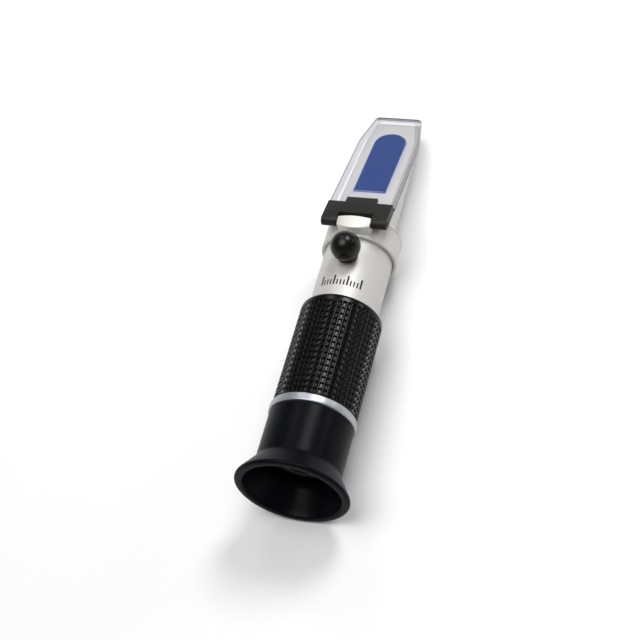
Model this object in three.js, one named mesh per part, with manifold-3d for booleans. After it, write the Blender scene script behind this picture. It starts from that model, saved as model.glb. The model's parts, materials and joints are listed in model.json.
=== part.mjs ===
// Handheld refractometer for must and wort: eyepiece with a rubber eyecup, knurled grip, aluminium barrel,
// prism housing with a sloping measuring prism, and a hinged daylight plate that closes over the prism.
// Millimetres. The optical axis is the instrument group's Y axis, stations along it are counted from the
// eyecup's rim, and heights are counted from the axis. The outer group stands the eyecup on the ground.
import * as THREE from 'three';
import { mergeVertices } from 'three/addons/utils/BufferGeometryUtils.js';
import Module from 'manifold-3d';

const wasm = await Module();
wasm.setup();

// ---- Driving dimensions ----

const LENGTH = 167;            // eyecup rim to the tip of the daylight plate
const GAP = 0.3;               // clearance between neighbouring pieces
const ROUND = 48;              // sides of the large round pieces
const INNER_ROUND = 32;        // sides of the round pieces inside the barrel
const SMALL_ROUND = 16;        // sides of pins, screws and bushes

const CUP = { radius: 20, bodyRadius: 14.9, bore: 12.4, length: 27.3, flareStart: 8.7 };
const TRIM = { radius: 15.4, start: 27.6, end: 30.1 };
const GRIP = { radius: 14.9, start: 30.4, end: 72.2 };
const BARREL = { radius: 12.5, bore: 11.2, start: 28, end: 105.8 };
const COLLAR = { radius: 14, start: 98.3, end: 107.8, shoulderEnd: 113.3 };
const HOUSING = { halfWidth: 10.2, topRadius: 12.4, wall: 2.2, end: 165.5 };
const HOUSING_TAPER = { start: 155.6, tipHalfWidth: 8.4 };
const CAVITY_END = 157;        // the housing is solid from here to its tip
const SOCKET = { radius: BARREL.radius + GAP, end: COLLAR.end - 0.5 };

// The measuring face slopes down towards the tip. In the slope's own frame Y runs down the slope, Z is its
// normal, and the origin lies just past the collar's shoulder.
const SLOPE = { station: 114.9, height: 12.25, angle: THREE.MathUtils.degToRad(14.33) };
const METAL_TOP = -2.4;        // the housing's sloping face
const METAL_START = -3.8;      // where the sloping face leaves the shoulder
const METAL_SKIN = 1.8;        // thickness of metal under that face
const PRISM = { halfWidth: 6.15, start: 7, end: 44.6, top: -1.1, bottom: -4.5 };
const GASKET = 0.9;            // width of the cement bead round the prism
const PLATE = { halfWidth: 12.4, kinkHalfWidth: 11.9, kink: 38.2, tipHalfWidth: 9, bottom: -0.8, top: 1.2 };
const BRACKET = { halfWidth: 12.1, top: 2.7, bottom: -1.2, end: -3.35 };
const BRACKET_SLOT = { halfWidth: 6.4, end: -9.55, relief: 0.3 };
const TONGUE = { halfWidth: 5.85, end: -0.4 };
const HINGE = { along: -12.77, above: 0.71, pinRadius: 0.8, pinHalfLength: 11.8, clearance: 0.12 };
const LUG = { halfWidth: 6.1, start: 98.9, end: 103.9, height: 18.4, frontHeight: 17.8, frontRadius: 11.2 };

const SCREW = { station: 90.3, shank: 1.2, head: 2.1, headTop: 14.9, headBottom: 13.1, tip: 4.6 };
const SCREW_SLOT = { halfWidth: 0.3, depth: 0.7 };
const BUSH = { radius: 3.4, top: 15.2, bottom: 10.9, seat: 12.9 };
const CAP = { radius: 5.45, centre: 18, foot: 12.85, footRadius: 4.1, pocketTop: 15.6 };

const SLEEVE = { radius: 10.9, bore: 9.3, start: 13, shoulder: 27, end: 44 };
const CELL = { radius: 9, bore: 7.9, start: 12, step: 32, stepBore: 7, end: 50 };
const LENS_RING_WALL = 1.4;
const LENS_SPACER_WALL = 0.9;
const GUIDE_PIN = { station: 47.5, radius: 1, travel: 4.6 };
const RETICLE = { start: 54, end: 60, seat: 55.2, thickness: 2, seatWall: 0.9, lip: 2.5, ringWall: 1.4 };
const BAFFLE = { bore: 5.5, start: 98, end: 99.2 };
const EYE_LENS = { start: 14.5, end: 18.5, dome: 1.3 };
const FIELD_LENS = { start: 27.8, end: 31.7, dome: 1.2 };
const FOCUS_SEAL = { station: 38.6, radius: 10.45, thickness: 0.4, groove: 9.95, halfGroove: 0.6 };
const COMPENSATOR = { blockHalfWidth: 3.5, blockHalfLength: 4, blockBottom: 5.2, blockTop: 8.4 };
const STRIP = { halfWidth: 3, start: 70.5, thickness: 0.5 };
const STRIP_SCREW = { offset: 2.7, shank: 0.6, head: 1.1, headHeight: 0.7, lift: 0.1, tip: 6.7 };
const STRIP_HOLE = 0.9;
const STRIP_SCREWS = [SCREW.station - STRIP_SCREW.offset, SCREW.station + STRIP_SCREW.offset];
const OBJECTIVE = { start: 71, end: 77, radius: 8.4, bore: 6.9, inset: 0.8, dome: 1.2 };
const BACKING = { halfWidth: 5, start: 118, end: 150, top: -4.8, bottom: -6 };
const BACKING_SCREWS = { front: 144, rear: 124 };
const BACKING_SCREW = { shank: 0.9, clearance: 1.2, head: 2, headTop: -9.1, bottom: -9.9 };
const SCREW_RECESS = { radius: 2.3, top: -8.8 };
const GRUB = { station: 102.5, radius: 1.4, sunk: 0.2 };

// ---- Materials ----

const finish = (color, roughness, metalness, extra = {}) =>
  new THREE.MeshStandardMaterial({ color, roughness, metalness, ...extra });

const MATERIALS = {
  satinAluminium: finish(0xc9c8c4, 0.35, 1),
  castMetal: finish(0xbdb8ad, 0.4, 0.9),
  trimMetal: finish(0xdcdee2, 0.25, 1),
  blackRubber: finish(0x0b0b0d, 0.45, 0),
  glossRubber: finish(0x08080a, 0.25, 0),
  blackPlastic: finish(0x1a1a19, 0.55, 0),
  acrylic: finish(0xeef0fa, 0.08, 0, { transparent: true, opacity: 0.35 }),
  blueGlass: finish(0x2b4a93, 0.12, 0),
  cement: finish(0xb9bde0, 0.4, 0),
  lensGlass: finish(0xe8f2f4, 0.05, 0, { transparent: true, opacity: 0.35 }),
  blackAnodised: finish(0x151517, 0.4, 0.8),
  steel: finish(0x9a9ca0, 0.3, 1),
  brass: finish(0xb08d4a, 0.35, 1),
  bimetal: finish(0x8e8577, 0.35, 1),
};

// ---- Geometry helpers ----

const point = (x, y) => new THREE.Vector2(x, y);

// A closed outline of [radius, station] corners turned about the Y axis.
function turned(corners, sides = ROUND) {
  const outline = corners.map(([radius, station]) => point(radius, station));
  if (THREE.ShapeUtils.area(outline) < 0) outline.reverse();
  const onAxis = outline[0].x === 0 && outline.at(-1).x === 0;
  if (!onAxis) outline.push(outline[0].clone());
  return new THREE.LatheGeometry(outline, sides);
}

const tube = (radius, bore, start, end, sides = ROUND) =>
  turned([[radius, start], [radius, end], [bore, end], [bore, start]], sides);

const rod = (radius, start, end, sides = SMALL_ROUND) =>
  new THREE.CylinderGeometry(radius, radius, end - start, sides).translate(0, (start + end) / 2, 0);

// The same geometry stood upright at a station, with its own Y axis along +Z.
const upright = (geometry, station) => geometry.rotateX(Math.PI / 2).translate(0, station, 0);

const box = (low, high) => {
  const size = high.map((value, i) => value - low[i]);
  const middle = high.map((value, i) => (value + low[i]) / 2);
  return new THREE.BoxGeometry(...size).translate(...middle);
};

// A level slab: an outline in X and Y between two heights.
const slab = (shape, bottom, top) =>
  new THREE.ExtrudeGeometry(shape, { depth: top - bottom, bevelEnabled: false, curveSegments: 12 })
    .translate(0, 0, bottom);

// A section in X and Z drawn along Y.
const alongAxis = (shape, start, end) =>
  new THREE.ExtrudeGeometry(shape, { depth: end - start, bevelEnabled: false, curveSegments: 18 })
    .rotateX(Math.PI / 2)
    .translate(0, end, 0);

// A side profile in Y and Z given its width along X.
const SIDEWAYS = new THREE.Matrix4().makeBasis(
  new THREE.Vector3(0, 1, 0),
  new THREE.Vector3(0, 0, 1),
  new THREE.Vector3(1, 0, 0),
);
const acrossWidth = (shape, halfWidth) =>
  new THREE.ExtrudeGeometry(shape, { depth: 2 * halfWidth, bevelEnabled: false, curveSegments: 12 })
    .translate(0, 0, -halfWidth)
    .applyMatrix4(SIDEWAYS);

// A rod along X through a point of the side view.
const crossRod = (radius, halfLength, station, height) =>
  rod(radius, -halfLength, halfLength).rotateZ(Math.PI / 2).translate(0, station, height);

const SLOPE_FRAME = new THREE.Matrix4()
  .makeTranslation(0, SLOPE.station, SLOPE.height)
  .multiply(new THREE.Matrix4().makeRotationX(-SLOPE.angle));
const onSlope = (geometry) => geometry.applyMatrix4(SLOPE_FRAME);

// A lens of two shallow domes on a straight edge.
function lens(radius, start, end, dome) {
  const steps = 4;
  const face = (station, rise) =>
    Array.from({ length: steps + 1 }, (_, i) => {
      const along = i / steps;
      return [radius * along, station + rise * along * along];
    });
  return turned([...face(start, dome), ...face(end, -dome).reverse()], INNER_ROUND);
}

function ringSeal({ radius, station, thickness }) {
  const sides = 6;
  const section = Array.from({ length: sides }, (_, i) => {
    const angle = (2 * Math.PI * i) / sides;
    return [radius + thickness * Math.cos(angle), station + thickness * Math.sin(angle)];
  });
  return turned(section, INNER_ROUND);
}

// Booleans work on meshes whose shared corners are one vertex.
function toSolid(geometry) {
  const bare = geometry.clone();
  bare.deleteAttribute('normal');
  bare.deleteAttribute('uv');
  const merged = mergeVertices(bare, 1e-4);
  const corners = merged.index.array;
  const triangles = [];
  for (let i = 0; i < corners.length; i += 3) {
    const [a, b, c] = corners.slice(i, i + 3);
    if (a !== b && b !== c && c !== a) triangles.push(a, b, c);
  }
  return new wasm.Manifold(new wasm.Mesh({
    numProp: 3,
    vertProperties: new Float32Array(merged.attributes.position.array),
    triVerts: new Uint32Array(triangles),
  }));
}

function toGeometry(solid) {
  const mesh = solid.getMesh();
  const geometry = new THREE.BufferGeometry();
  geometry.setAttribute('position', new THREE.BufferAttribute(mesh.vertProperties, mesh.numProp));
  geometry.setIndex(new THREE.BufferAttribute(mesh.triVerts, 1));
  geometry.computeVertexNormals();
  return geometry;
}

const without = (geometry, ...cuts) =>
  toGeometry(cuts.reduce((solid, cut) => solid.subtract(toSolid(cut)), toSolid(geometry)));

// ---- Assembly ----

const refractometer = new THREE.Group();
const instrument = new THREE.Group();
instrument.position.set(0, -LENGTH / 2, CUP.radius);
refractometer.add(instrument);

function add(name, geometry, material) {
  const mesh = new THREE.Mesh(geometry, material);
  mesh.name = name;
  instrument.add(mesh);
}

// ---- Barrel, grip and trim ring ----

function barrel() {
  const { station, radius, travel } = GUIDE_PIN;
  const slotHalfWidth = radius + GAP;
  const keyway = box(
    [-slotHalfWidth, station - travel - radius - GAP, -BARREL.radius - 1],
    [slotHalfWidth, station + radius + GAP, -BARREL.bore + 2],
  );
  const bushHole = upright(rod(BUSH.radius + GAP, BARREL.bore - 3, BARREL.radius + 1), SCREW.station);
  return without(tube(BARREL.radius, BARREL.bore, BARREL.start, BARREL.end), keyway, bushHole);
}

function grip() {
  const chamfer = 0.8;
  const bore = BARREL.radius + GAP;
  return turned([
    [GRIP.radius, GRIP.start],
    [GRIP.radius, GRIP.end - chamfer],
    [GRIP.radius - chamfer, GRIP.end],
    [bore, GRIP.end],
    [bore, GRIP.start],
  ]);
}

add('main_barrel', barrel(), MATERIALS.satinAluminium);
add('grip_sleeve', grip(), MATERIALS.blackRubber);
add('trim_ring', tube(TRIM.radius, BARREL.radius + GAP, TRIM.start, TRIM.end), MATERIALS.trimMetal);

// ---- Prism housing: collar, shoulder, round-bottomed trough and hinge lug ----

// A section with straight sides and a half-round bottom about the optical axis.
function troughSection(halfWidth, height) {
  const shape = new THREE.Shape();
  shape.moveTo(halfWidth, height);
  shape.lineTo(-halfWidth, height);
  shape.lineTo(-halfWidth, 0);
  shape.absarc(0, 0, halfWidth, Math.PI, 2 * Math.PI, false);
  shape.closePath();
  return shape;
}

// The prism's outline on the slope: square towards the hinge, round towards the tip.
function prismOutline(margin) {
  const halfWidth = PRISM.halfWidth + margin;
  const shape = new THREE.Shape();
  shape.moveTo(-halfWidth, PRISM.start - margin);
  shape.lineTo(halfWidth, PRISM.start - margin);
  shape.absarc(0, PRISM.end - PRISM.halfWidth, halfWidth, 0, Math.PI, false);
  shape.closePath();
  return shape;
}

function housingPlan() {
  const shape = new THREE.Shape();
  const { halfWidth, end } = HOUSING;
  const { start: taperStart, tipHalfWidth } = HOUSING_TAPER;
  const corner = 2;
  const clear = halfWidth + 1;
  shape.moveTo(-clear, COLLAR.end);
  shape.lineTo(clear, COLLAR.end);
  shape.lineTo(clear, taperStart);
  shape.lineTo(halfWidth, taperStart);
  shape.lineTo(tipHalfWidth, end - corner);
  shape.quadraticCurveTo(tipHalfWidth, end, tipHalfWidth - corner, end);
  shape.lineTo(corner - tipHalfWidth, end);
  shape.quadraticCurveTo(-tipHalfWidth, end, -tipHalfWidth, end - corner);
  shape.lineTo(-halfWidth, taperStart);
  shape.lineTo(-clear, taperStart);
  shape.closePath();
  return shape;
}

function collarAndShoulder() {
  const chamfer = 0.5;
  const steps = 4;
  const sweep = 1.5;             // how hollow the shoulder's curve is
  const shoulder = Array.from({ length: steps + 1 }, (_, i) => {
    const along = i / steps;
    const drop = COLLAR.radius - HOUSING.halfWidth;
    const station = COLLAR.end + along * (COLLAR.shoulderEnd - COLLAR.end);
    return [HOUSING.halfWidth + drop * (1 - along) ** sweep, station];
  });
  return turned([
    [0, COLLAR.start],
    [COLLAR.radius - chamfer, COLLAR.start],
    [COLLAR.radius, COLLAR.start + chamfer],
    ...shoulder,
    [0, COLLAR.shoulderEnd],
  ]);
}

// A block with a turned crown and a bowed front.
function hingeLug() {
  const { halfWidth, start, end, height, frontHeight, frontRadius } = LUG;
  const base = BARREL.radius;
  const shape = new THREE.Shape();
  shape.moveTo(start, base);
  shape.lineTo(end, base);
  shape.lineTo(end, height);
  shape.lineTo(start, frontHeight);
  shape.closePath();
  const crown = rod(height, start - 1, end + 1, ROUND);
  const front = upright(rod(frontRadius, base - 1, height + 1, ROUND), start + frontRadius);
  return toSolid(acrossWidth(shape, halfWidth)).intersect(toSolid(crown)).intersect(toSolid(front));
}

// The hinge pin's place in the side view.
const hingeCentre = new THREE.Vector3(0, HINGE.along, HINGE.above).applyMatrix4(SLOPE_FRAME);
const hingeRod = (radius, halfLength) => crossRod(radius, halfLength, hingeCentre.y, hingeCentre.z);

function prismHousing() {
  const reach = 80;
  const troughStart = COLLAR.shoulderEnd - 1.8;      // inside the shoulder
  const boreStep = 1;
  const trough = toSolid(alongAxis(troughSection(HOUSING.halfWidth, COLLAR.radius), troughStart, HOUSING.end))
    .intersect(toSolid(rod(HOUSING.topRadius, COLLAR.end, HOUSING.end + 1, ROUND)))
    .intersect(toSolid(slab(housingPlan(), -COLLAR.radius, COLLAR.radius)));
  const aboveFace = onSlope(box([-reach, METAL_START, METAL_TOP], [reach, reach, reach]));

  const innerHalfWidth = HOUSING.halfWidth - HOUSING.wall;
  const belowSkin = onSlope(box([-reach, -reach, -reach], [reach, reach, METAL_TOP - METAL_SKIN]));
  const innerSection = troughSection(innerHalfWidth, COLLAR.radius);
  const cavity = toSolid(alongAxis(innerSection, COLLAR.shoulderEnd - 1, CAVITY_END))
    .intersect(toSolid(belowSkin));
  const window = toSolid(onSlope(slab(prismOutline(GASKET + GAP), -reach / 2, 1)))
    .intersect(toSolid(box([-reach, 0, BACKING.bottom - GAP], [reach, HOUSING.end, reach])));

  const socket = rod(SOCKET.radius, COLLAR.start - 1, SOCKET.end, ROUND);
  const lightBore = rod(innerHalfWidth - boreStep, COLLAR.end - 1, COLLAR.shoulderEnd + 1, INNER_ROUND);
  const pinHole = hingeRod(HINGE.pinRadius + HINGE.clearance, LUG.halfWidth + 1);
  const grubHole = upright(rod(GRUB.radius + GAP, -COLLAR.radius - 1, -BARREL.radius + 1), GRUB.station);

  let solid = toSolid(collarAndShoulder()).add(trough).subtract(toSolid(aboveFace)).add(hingeLug());
  solid = solid.subtract(cavity).subtract(window);
  const cuts = [socket, lightBore, pinHole, grubHole];
  const below = -HOUSING.halfWidth - 1;
  for (const station of Object.values(BACKING_SCREWS)) {
    cuts.push(upright(rod(BACKING_SCREW.clearance, below, BACKING.top), station));
    cuts.push(upright(rod(SCREW_RECESS.radius, below, SCREW_RECESS.top), station));
  }
  for (const cut of cuts) solid = solid.subtract(toSolid(cut));
  return toGeometry(solid);
}

const grubScrew = rod(GRUB.radius, GRUB.sunk - COLLAR.radius, -SOCKET.radius);
const collarSeal = { radius: BARREL.radius - 0.6, thickness: 0.45, station: (BARREL.end + SOCKET.end) / 2 };

add('prism_housing', prismHousing(), MATERIALS.castMetal);
add('hinge_pin', hingeRod(HINGE.pinRadius, HINGE.pinHalfLength), MATERIALS.steel);
add('collar_grub_screw', upright(grubScrew, GRUB.station), MATERIALS.steel);
add('collar_seal_ring', ringSeal(collarSeal), MATERIALS.blackRubber);

// ---- Measuring prism, its cement bead, and the blackened backing plate under it ----

function mainPrism() {
  const reach = 40;
  const blank = toSolid(onSlope(slab(prismOutline(0), -reach, PRISM.top)));
  const exitFace = SLOPE.station + PRISM.start;
  const envelope = box([-reach, exitFace, PRISM.bottom], [reach, HOUSING.end, reach]);
  return toGeometry(blank.intersect(toSolid(envelope)));
}

function cementBead() {
  const belowGlass = 0.5;
  const shape = prismOutline(GASKET);
  shape.holes.push(prismOutline(GAP / 2));
  return onSlope(slab(shape, METAL_TOP - METAL_SKIN, PRISM.top - belowGlass));
}

function backingPlate() {
  const plate = box([-BACKING.halfWidth, BACKING.start, BACKING.bottom],
    [BACKING.halfWidth, BACKING.end, BACKING.top]);
  const hole = () => rod(BACKING_SCREW.clearance, BACKING.bottom - 1, BACKING.top + 1);
  const holes = Object.values(BACKING_SCREWS).map((station) => upright(hole(), station));
  return without(plate, ...holes);
}

function backingScrew(station) {
  const { shank, head, headTop, bottom } = BACKING_SCREW;
  const tip = BACKING.top - GAP;
  const corners = [[0, bottom], [head, bottom], [head, headTop], [shank, headTop], [shank, tip], [0, tip]];
  return upright(turned(corners, SMALL_ROUND), station);
}

add('main_prism', mainPrism(), MATERIALS.blueGlass);
add('prism_cement', cementBead(), MATERIALS.cement);
add('prism_backing_plate', backingPlate(), MATERIALS.blackAnodised);
for (const [place, station] of Object.entries(BACKING_SCREWS)) {
  add(`backing_screw_${place}`, backingScrew(station), MATERIALS.steel);
}

// ---- Daylight plate and its hinge bracket ----

function daylightPlate() {
  const bevel = 0.6;
  const corner = 1.5;
  const start = BRACKET.end + GAP;
  const { halfWidth, kinkHalfWidth, kink, tipHalfWidth } = PLATE;
  const rise = (PLATE.top - bevel) * Math.sin(SLOPE.angle);
  const end = (LENGTH - SLOPE.station - rise) / Math.cos(SLOPE.angle);
  const shape = new THREE.Shape();
  shape.moveTo(-halfWidth, start);
  shape.lineTo(halfWidth, start);
  shape.lineTo(kinkHalfWidth, kink);
  shape.lineTo(tipHalfWidth, end - corner);
  shape.quadraticCurveTo(tipHalfWidth, end, tipHalfWidth - corner, end);
  shape.lineTo(corner - tipHalfWidth, end);
  shape.quadraticCurveTo(-tipHalfWidth, end, -tipHalfWidth, end - corner);
  shape.lineTo(-kinkHalfWidth, kink);
  shape.closePath();
  const options = {
    depth: PLATE.top - PLATE.bottom - 2 * bevel,
    bevelThickness: bevel,
    bevelSize: bevel,
    bevelOffset: -bevel,
    bevelSegments: 1,
    curveSegments: 6,
  };
  return onSlope(new THREE.ExtrudeGeometry(shape, options).translate(0, 0, PLATE.bottom + bevel));
}

// A bar across the plate's end, with two arms to the hinge pin, a tongue over the plate, and a relief
// underneath that clears the collar.
function coverBracket() {
  const { halfWidth, top, bottom, end } = BRACKET;
  const { halfWidth: slotHalfWidth, end: slotEnd, relief } = BRACKET_SLOT;
  const reach = 30;
  const profile = new THREE.Shape();
  profile.moveTo(end, bottom);
  profile.lineTo(end, top);
  profile.lineTo(HINGE.along, top);
  profile.absarc(HINGE.along, HINGE.above, top - HINGE.above, Math.PI / 2, 1.5 * Math.PI, false);
  profile.closePath();
  const tongue = box([-TONGUE.halfWidth, end - 1, PLATE.top + GAP], [TONGUE.halfWidth, TONGUE.end, top]);
  const slot = box([-slotHalfWidth, -reach, -reach], [slotHalfWidth, slotEnd, reach]);
  const underside = box([-slotHalfWidth, -reach, -reach], [slotHalfWidth, reach, relief]);
  const pinHole = crossRod(HINGE.pinRadius + HINGE.clearance, halfWidth + 1, HINGE.along, HINGE.above);
  const body = toSolid(acrossWidth(profile, halfWidth)).add(toSolid(tongue));
  const cuts = [slot, underside, pinHole].map(toSolid);
  return onSlope(toGeometry(cuts.reduce((solid, cut) => solid.subtract(cut), body)));
}

add('daylight_plate', daylightPlate(), MATERIALS.acrylic);
add('cover_bracket', coverBracket(), MATERIALS.blackPlastic);

// ---- Calibration screw, its bush and its rubber cap ----

// A headed screw about the Y axis, head uppermost.
const screwBlank = ({ shank, head, headTop, headBottom, tip }) =>
  turned([
    [0, tip],
    [shank, tip],
    [shank, headBottom],
    [head, headBottom],
    [head, headTop],
    [0, headTop],
  ], SMALL_ROUND);

function calibrationScrew() {
  const { head, headTop } = SCREW;
  const { halfWidth, depth } = SCREW_SLOT;
  const slot = box([-halfWidth, headTop - depth, -head - 1], [halfWidth, headTop + 1, head + 1]);
  return upright(without(screwBlank(SCREW), slot), SCREW.station);
}

function screwBush() {
  const { radius, top, bottom, seat } = BUSH;
  const wide = SCREW.head + GAP;
  const narrow = SCREW.shank + GAP;
  const corners = [
    [radius, bottom],
    [radius, top],
    [wide, top],
    [wide, seat],
    [narrow, seat],
    [narrow, bottom],
  ];
  return upright(turned(corners, SMALL_ROUND), SCREW.station);
}

// A ball on a short tapering foot, with a pocket that grips the bush.
function screwCap() {
  const { radius, centre, foot, footRadius, pocketTop } = CAP;
  const steps = 9;
  const lowest = THREE.MathUtils.degToRad(-41);
  const ball = Array.from({ length: steps + 1 }, (_, i) => {
    const angle = lowest + (Math.PI / 2 - lowest) * (i / steps);
    return [i === steps ? 0 : radius * Math.cos(angle), centre + radius * Math.sin(angle)];
  });
  const pocket = BUSH.radius + GAP;
  const corners = [[0, pocketTop], [pocket, pocketTop], [pocket, foot], [footRadius, foot], ...ball];
  return upright(turned(corners, INNER_ROUND), SCREW.station);
}

add('screw_bush', screwBush(), MATERIALS.brass);
add('calibration_screw', calibrationScrew(), MATERIALS.steel);
add('screw_cap', screwCap(), MATERIALS.glossRubber);

// ---- Temperature compensator: nut block, bimetal strip and the objective that it carries ----

function nutBlock() {
  const { blockHalfWidth, blockHalfLength, blockBottom, blockTop } = COMPENSATOR;
  const block = box([-blockHalfWidth, SCREW.station - blockHalfLength, blockBottom],
    [blockHalfWidth, SCREW.station + blockHalfLength, blockTop]);
  const thread = upright(rod(SCREW.shank + GAP, blockBottom - 1, blockTop + 1), SCREW.station);
  const tap = () => rod(STRIP_HOLE, STRIP_SCREW.tip - GAP, blockTop + 1);
  return without(block, thread, ...STRIP_SCREWS.map((station) => upright(tap(), station)));
}

const STRIP_BOTTOM = COMPENSATOR.blockTop + GAP;

function bimetalStrip() {
  const { halfWidth, thickness } = STRIP;
  const end = SCREW.station + COMPENSATOR.blockHalfLength;
  const shape = new THREE.Shape();
  shape.moveTo(-halfWidth, STRIP.start);
  shape.lineTo(halfWidth, STRIP.start);
  shape.lineTo(halfWidth, end);
  shape.lineTo(-halfWidth, end);
  shape.closePath();
  const addHole = (station, radius) => {
    const hole = new THREE.Path();
    hole.absarc(0, station, radius, 0, 2 * Math.PI, true);
    shape.holes.push(hole);
  };
  addHole(SCREW.station, SCREW.shank + 2 * GAP);
  STRIP_SCREWS.forEach((station) => addHole(station, STRIP_HOLE));
  return slab(shape, STRIP_BOTTOM, STRIP_BOTTOM + thickness);
}

function stripScrew(station) {
  const headBottom = STRIP_BOTTOM + STRIP.thickness + STRIP_SCREW.lift;
  const headTop = headBottom + STRIP_SCREW.headHeight;
  return upright(screwBlank({ ...STRIP_SCREW, headBottom, headTop }), station);
}

function objectiveLens() {
  const { start, end, bore, inset, dome } = OBJECTIVE;
  return lens(bore - GAP, start + inset, end - inset, dome);
}

add('compensator_block', nutBlock(), MATERIALS.brass);
add('bimetal_strip', bimetalStrip(), MATERIALS.bimetal);
add('strip_screw_rear', stripScrew(STRIP_SCREWS[0]), MATERIALS.steel);
add('strip_screw_front', stripScrew(STRIP_SCREWS[1]), MATERIALS.steel);
add('objective_cell', tube(OBJECTIVE.radius, OBJECTIVE.bore, OBJECTIVE.start, OBJECTIVE.end, INNER_ROUND),
  MATERIALS.blackAnodised);
add('objective_lens', objectiveLens(), MATERIALS.lensGlass);

// ---- Light baffle and scale reticle, fixed in the barrel ----

const INSERT_RADIUS = BARREL.bore - GAP;

const DISC_RADIUS = INSERT_RADIUS - RETICLE.seatWall - GAP;
const DISC_START = RETICLE.seat + GAP;
const DISC_END = DISC_START + RETICLE.thickness;

function reticleHolder() {
  const seatBore = INSERT_RADIUS - RETICLE.seatWall;
  const lipBore = INSERT_RADIUS - RETICLE.lip;
  return turned([
    [INSERT_RADIUS, RETICLE.start],
    [INSERT_RADIUS, RETICLE.end],
    [seatBore, RETICLE.end],
    [seatBore, RETICLE.seat],
    [lipBore, RETICLE.seat],
    [lipBore, RETICLE.start],
  ], INNER_ROUND);
}

function reticleRing() {
  const bore = DISC_RADIUS - RETICLE.ringWall;
  return tube(DISC_RADIUS, bore, DISC_END + GAP, RETICLE.end - GAP, INNER_ROUND);
}

const baffle = tube(INSERT_RADIUS, BAFFLE.bore, BAFFLE.start, BAFFLE.end, INNER_ROUND);

add('light_baffle', baffle, MATERIALS.blackAnodised);
add('reticle_holder', reticleHolder(), MATERIALS.blackAnodised);
add('reticle_disc', rod(DISC_RADIUS, DISC_START, DISC_END, INNER_ROUND), MATERIALS.lensGlass);
add('reticle_retaining_ring', reticleRing(), MATERIALS.blackAnodised);

// ---- Eyepiece: eyecup and turning focus sleeve round the keyed lens cell ----

// A straight body, a straight flare and a rolled lip. The lip's corners are [depth under the rim's radius,
// station].
function eyecup() {
  const { radius, bodyRadius, bore, length, flareStart } = CUP;
  const throat = { start: flareStart, end: flareStart + 2, flare: 0.6 };
  const lip = [[3.3, 1.6], [2.9, 0.4], [2.4, 0], [1.2, 0], [0.35, 0.25], [0, 0.8], [0.2, 1.5]];
  return turned([
    [bodyRadius, length],
    [bore, length],
    [bore, throat.end],
    [bore + throat.flare, throat.start],
    ...lip.map(([depth, station]) => [radius - depth, station]),
    [bodyRadius, flareStart],
  ]);
}

function focusSleeve() {
  const { radius, bore, start, shoulder, end } = SLEEVE;
  const gripRadius = CUP.bore - GAP;
  const { station, groove, halfGroove } = FOCUS_SEAL;
  return turned([
    [gripRadius, start],
    [gripRadius, shoulder],
    [radius, shoulder],
    [radius, station - halfGroove],
    [groove, station - halfGroove],
    [groove, station + halfGroove],
    [radius, station + halfGroove],
    [radius, end],
    [bore, end],
    [bore, start],
  ]);
}

function lensCell() {
  const { radius, bore, start, step, stepBore, end } = CELL;
  const shell = turned([
    [radius, start],
    [radius, end],
    [stepBore, end],
    [stepBore, step],
    [bore, step],
    [bore, start],
  ], INNER_ROUND);
  const pinHole = upright(rod(GUIDE_PIN.radius + GAP, -radius - 1, 1 - stepBore), GUIDE_PIN.station);
  return without(shell, pinHole);
}

const LENS_RADIUS = CELL.bore - GAP;

function guidePin() {
  const tip = CELL.stepBore + GAP;
  return upright(rod(GUIDE_PIN.radius, GAP - BARREL.radius, -tip), GUIDE_PIN.station);
}

function lensRing() {
  const bore = LENS_RADIUS - LENS_RING_WALL;
  return tube(LENS_RADIUS, bore, CELL.start + 2 * GAP, EYE_LENS.start - GAP, INNER_ROUND);
}

function lensSpacer() {
  const bore = LENS_RADIUS - LENS_SPACER_WALL;
  return tube(LENS_RADIUS, bore, EYE_LENS.end + GAP, FIELD_LENS.start - GAP, INNER_ROUND);
}

add('eyecup', eyecup(), MATERIALS.blackRubber);
add('focus_sleeve', focusSleeve(), MATERIALS.blackAnodised);
add('focus_seal_ring', ringSeal(FOCUS_SEAL), MATERIALS.blackRubber);
add('lens_cell', lensCell(), MATERIALS.blackAnodised);
add('focus_guide_pin', guidePin(), MATERIALS.steel);
add('lens_retaining_ring', lensRing(), MATERIALS.blackAnodised);
add('eye_lens', lens(LENS_RADIUS, EYE_LENS.start, EYE_LENS.end, EYE_LENS.dome), MATERIALS.lensGlass);
add('lens_spacer', lensSpacer(), MATERIALS.blackAnodised);
add('field_lens', lens(LENS_RADIUS, FIELD_LENS.start, FIELD_LENS.end, FIELD_LENS.dome), MATERIALS.lensGlass);

export default refractometer;
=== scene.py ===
import json
import math

import bmesh
import bpy
from mathutils import Matrix, Vector


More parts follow.
